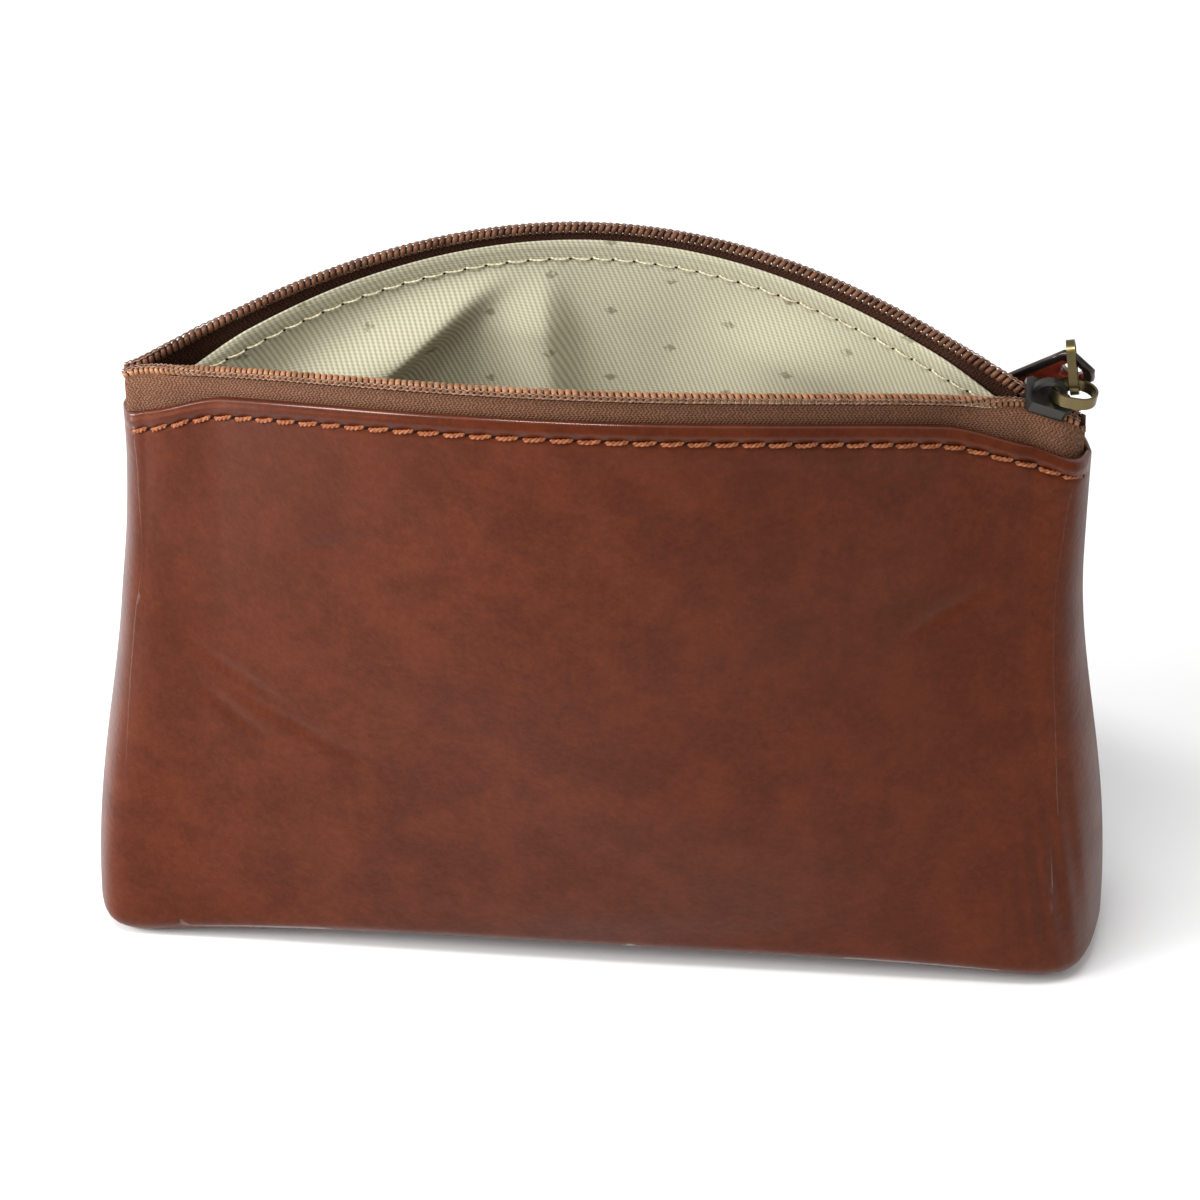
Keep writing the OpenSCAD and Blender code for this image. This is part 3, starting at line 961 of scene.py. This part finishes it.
def build_seams():
    for side, word in ((-1, "left"), (1, "right")):
        top = edge_z(TOP_HALF_WIDTH) - 8
        count = int((top - 10) / STITCH_PITCH)
        heights = [mix(10, top, k / count) for k in range(count + 1)]
        path = [Vector((side * (half_width(z) - SEAM_THREAD_DEPTH) + side_shift(side, z), 0, z))
                for z in heights]
        build_seam_thread(f"{word}_seam_stitches", f"{word}_seam_thread", path)
    reach = BASE_HALF_WIDTH - BASE_EDGE_R - 6
    count = int(2 * reach / STITCH_PITCH)
    path = [Vector((mix(-reach, reach, k / count), 0, SEAM_THREAD_DEPTH)) for k in range(count + 1)]
    build_seam_thread("base_seam_stitches", "base_seam_thread", path)


# ---- Slider, rings and pull ----
def turn(axis, degrees):
    return Matrix.Rotation(math.radians(degrees), 4, axis)


def move(x, y, z):
    return Matrix.Translation((x, y, z))


def pull_frame():
    """The pull's own frame in millimetres, as the CAD places it: at its hole, hanging towards -Z."""
    angle = math.degrees(math.asin(SLIDER_X / ZIP_RADIUS))
    slider = move(0, 0, ZIP_CENTRE_Z) @ turn("Y", angle) @ move(0, 0, ZIP_RADIUS)
    link = slider @ move(0, 0, LINK_PIVOT_Z) @ turn("Y", -LINK_TILT)
    ring = link @ move(LINK_LENGTH / 2 - STRIP_T / 2, (LINK_WIDTH - STRIP_T) / 2, 0)
    ring = ring @ turn("Y", PULL_RING_SIDE + LINK_TILT) @ turn("X", -PULL_RING_BACK)
    rise = (PULL_RING_LENGTH - PULL_RING_WIDTH) / 2 + RING_SLACK
    hung = ring @ move(0, (PULL_RING_WIDTH - STRIP_T) / 2, rise)
    hung = hung @ turn("X", PULL_RING_BACK) @ turn("Y", -PULL_RING_SIDE - angle)
    return hung @ turn("Y", PULL_ROLL) @ turn("X", PULL_LEAN)


def pull_outline(shrink):
    """The pull's outline with cut corners, as a loop of closely spaced points in X and Z."""
    half, cut = PULL_WIDTH / 2 - shrink, PULL_CORNER
    top, bottom = PULL_HOLE_FROM_END - shrink, PULL_HOLE_FROM_END - PULL_LENGTH + shrink
    corners = [(-half, bottom + cut), (-half + cut, bottom), (half - cut, bottom), (half, bottom + cut),
               (half, top - cut), (half - cut, top), (-half + cut, top), (-half, top - cut)]
    outline = []
    for a, b in zip(corners, corners[1:] + corners[:1]):
        outline += [(mix(a[0], b[0], t / 8), mix(a[1], b[1], t / 8)) for t in range(8)]
    return outline


def pull_half(sign):
    """Loops over one half of the pull: from the middle of its edge over its face to the hole."""
    loops = [[(x, -sign * PULL_T / 2 * height, z) for x, z in pull_outline(shrink)]
             for shrink, height in PULL_EDGE_LOOPS]
    hole = [(PULL_HOLE_R * x / math.hypot(x, z), PULL_HOLE_R * z / math.hypot(x, z))
            for x, z in pull_outline(0.0)]
    face = loops[-1]
    for share in PULL_FACE_SHARES:
        loops.append([(mix(x, hole_x, share), y, mix(z, hole_z, share))
                      for (x, y, z), (hole_x, hole_z) in zip(face, hole)])
    return loops


def build_pull():
    """A closed strap: over the front to the hole, through it, and over the back to the edge again."""
    loops = pull_half(1) + pull_half(-1)[:0:-1]
    painted = len(PULL_EDGE_LOOPS) - 1
    count = len(loops[0])
    to_world = pull_frame()
    vertices = [to_world @ Vector(p) for loop in loops for p in loop]
    faces, slots = [], []
    for i in range(len(loops)):
        for j in range(count):
            a, b = i * count + j, i * count + (j + 1) % count
            step = ((i + 1) % len(loops)) * count - i * count
            faces.append((a, b, b + step, a + step))
            slots.append(1 if i < painted or i >= len(loops) - painted else 0)
    pull = make_object("leather_pull", vertices, faces, [PULL_LEATHER, PULL_EDGE], slots)
    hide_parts("pull_tab")
    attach(pull, "pull")


def finish_metal():
    for node, material in (("slider_body", ZINC), ("link_ring", BRASS), ("pull_ring", BRASS)):
        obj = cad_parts[node]
        for k in range(len(obj.material_slots)):
            obj.material_slots[k].material = material


# ---- Studio ----
FLOOR_HALF_SIZE = 2000.0
WORLD_STRENGTH = 0.68
# Each light's name, place, target, size and power
LIGHTS = (
    ("key_light", (-0.72, -0.38, 0.54), (0, 0, 0.06), (0.4, 0.4), 7.8),
    ("top_light", (-0.12, -0.3, 0.9), (-0.02, 0, 0.1), (0.4, 0.08), 4),
    ("side_light", (-0.75, 0.02, 0.14), (-0.1, 0, 0.07), (0.3, 0.3), 3.2),
)
CAMERA_PITCH = math.radians(38)
CAMERA_YAW = math.radians(5.1)
CAMERA_DISTANCE = 0.84
CAMERA_TARGET = Vector((0, 0, 0.0536))
CAMERA_SHIFT = (0.0015, 0.0753)
SENSOR_WIDTH = 36
FOCAL_LENGTH = 129.93


def build_floor():
    shader = Shader("studio_floor")
    shade = shader.blend(shader.noise(3, 2), (0.9, 0.9, 0.9), (0.93, 0.93, 0.93))
    shader.set(Base_Color=shade, Roughness=0.8)
    far = FLOOR_HALF_SIZE
    corners = [(-far, -far, 0), (far, -far, 0), (far, far, 0), (-far, far, 0)]
    make_object("studio_floor", corners, [(0, 1, 2, 3)], [shader.material])


def area_light(name, place, target, size, power):
    data = bpy.data.lights.new(name, "AREA")
    data.shape = "RECTANGLE"
    data.size, data.size_y = size
    data.energy = power
    light = bpy.data.objects.new(name, data)
    light.location = place
    light.rotation_euler = (Vector(target) - Vector(place)).to_track_quat("-Z", "Y").to_euler()
    bpy.context.collection.objects.link(light)


def build_lights():
    bpy.context.scene.view_settings.view_transform = "Standard"
    world = bpy.data.worlds.new("studio")
    world.use_nodes = True
    sky = world.node_tree.nodes["Background"].inputs
    sky["Color"].default_value = (1, 1, 1, 1)
    sky["Strength"].default_value = WORLD_STRENGTH
    bpy.context.scene.world = world
    for light in LIGHTS:
        area_light(*light)


def build_camera():
    level = math.cos(CAMERA_PITCH)
    way = Vector((math.sin(CAMERA_YAW) * level, -math.cos(CAMERA_YAW) * level, math.sin(CAMERA_PITCH)))
    data = bpy.data.cameras.new("camera")
    data.sensor_width = SENSOR_WIDTH
    data.lens = FOCAL_LENGTH
    data.shift_x, data.shift_y = CAMERA_SHIFT
    data.clip_start = 0.01
    camera = bpy.data.objects.new("camera", data)
    camera.location = CAMERA_TARGET + CAMERA_DISTANCE * way
    camera.rotation_euler = (-way).to_track_quat("-Z", "Y").to_euler()
    bpy.context.collection.objects.link(camera)
    bpy.context.scene.camera = camera


def build_zip():
    for word, side, tape, coil, slot in (
        ("front", 1, FRONT_TAPE, FRONT_COIL, "nylon_coil"),
        ("back", -1, SHADED_BACK_TAPE, SHADED_BACK_COIL, "nylon_coil_dark"),
    ):
        build_tape(word, side, tape)
        build_coil(word, side, coil, slot)
        build_coil_cord(word, side)
        build_coil_thread(word, side)
        build_stitches(word, side)


build_floor()
build_lights()
build_camera()
build_walls()
build_zip()
build_seams()
build_pull()
finish_metal()
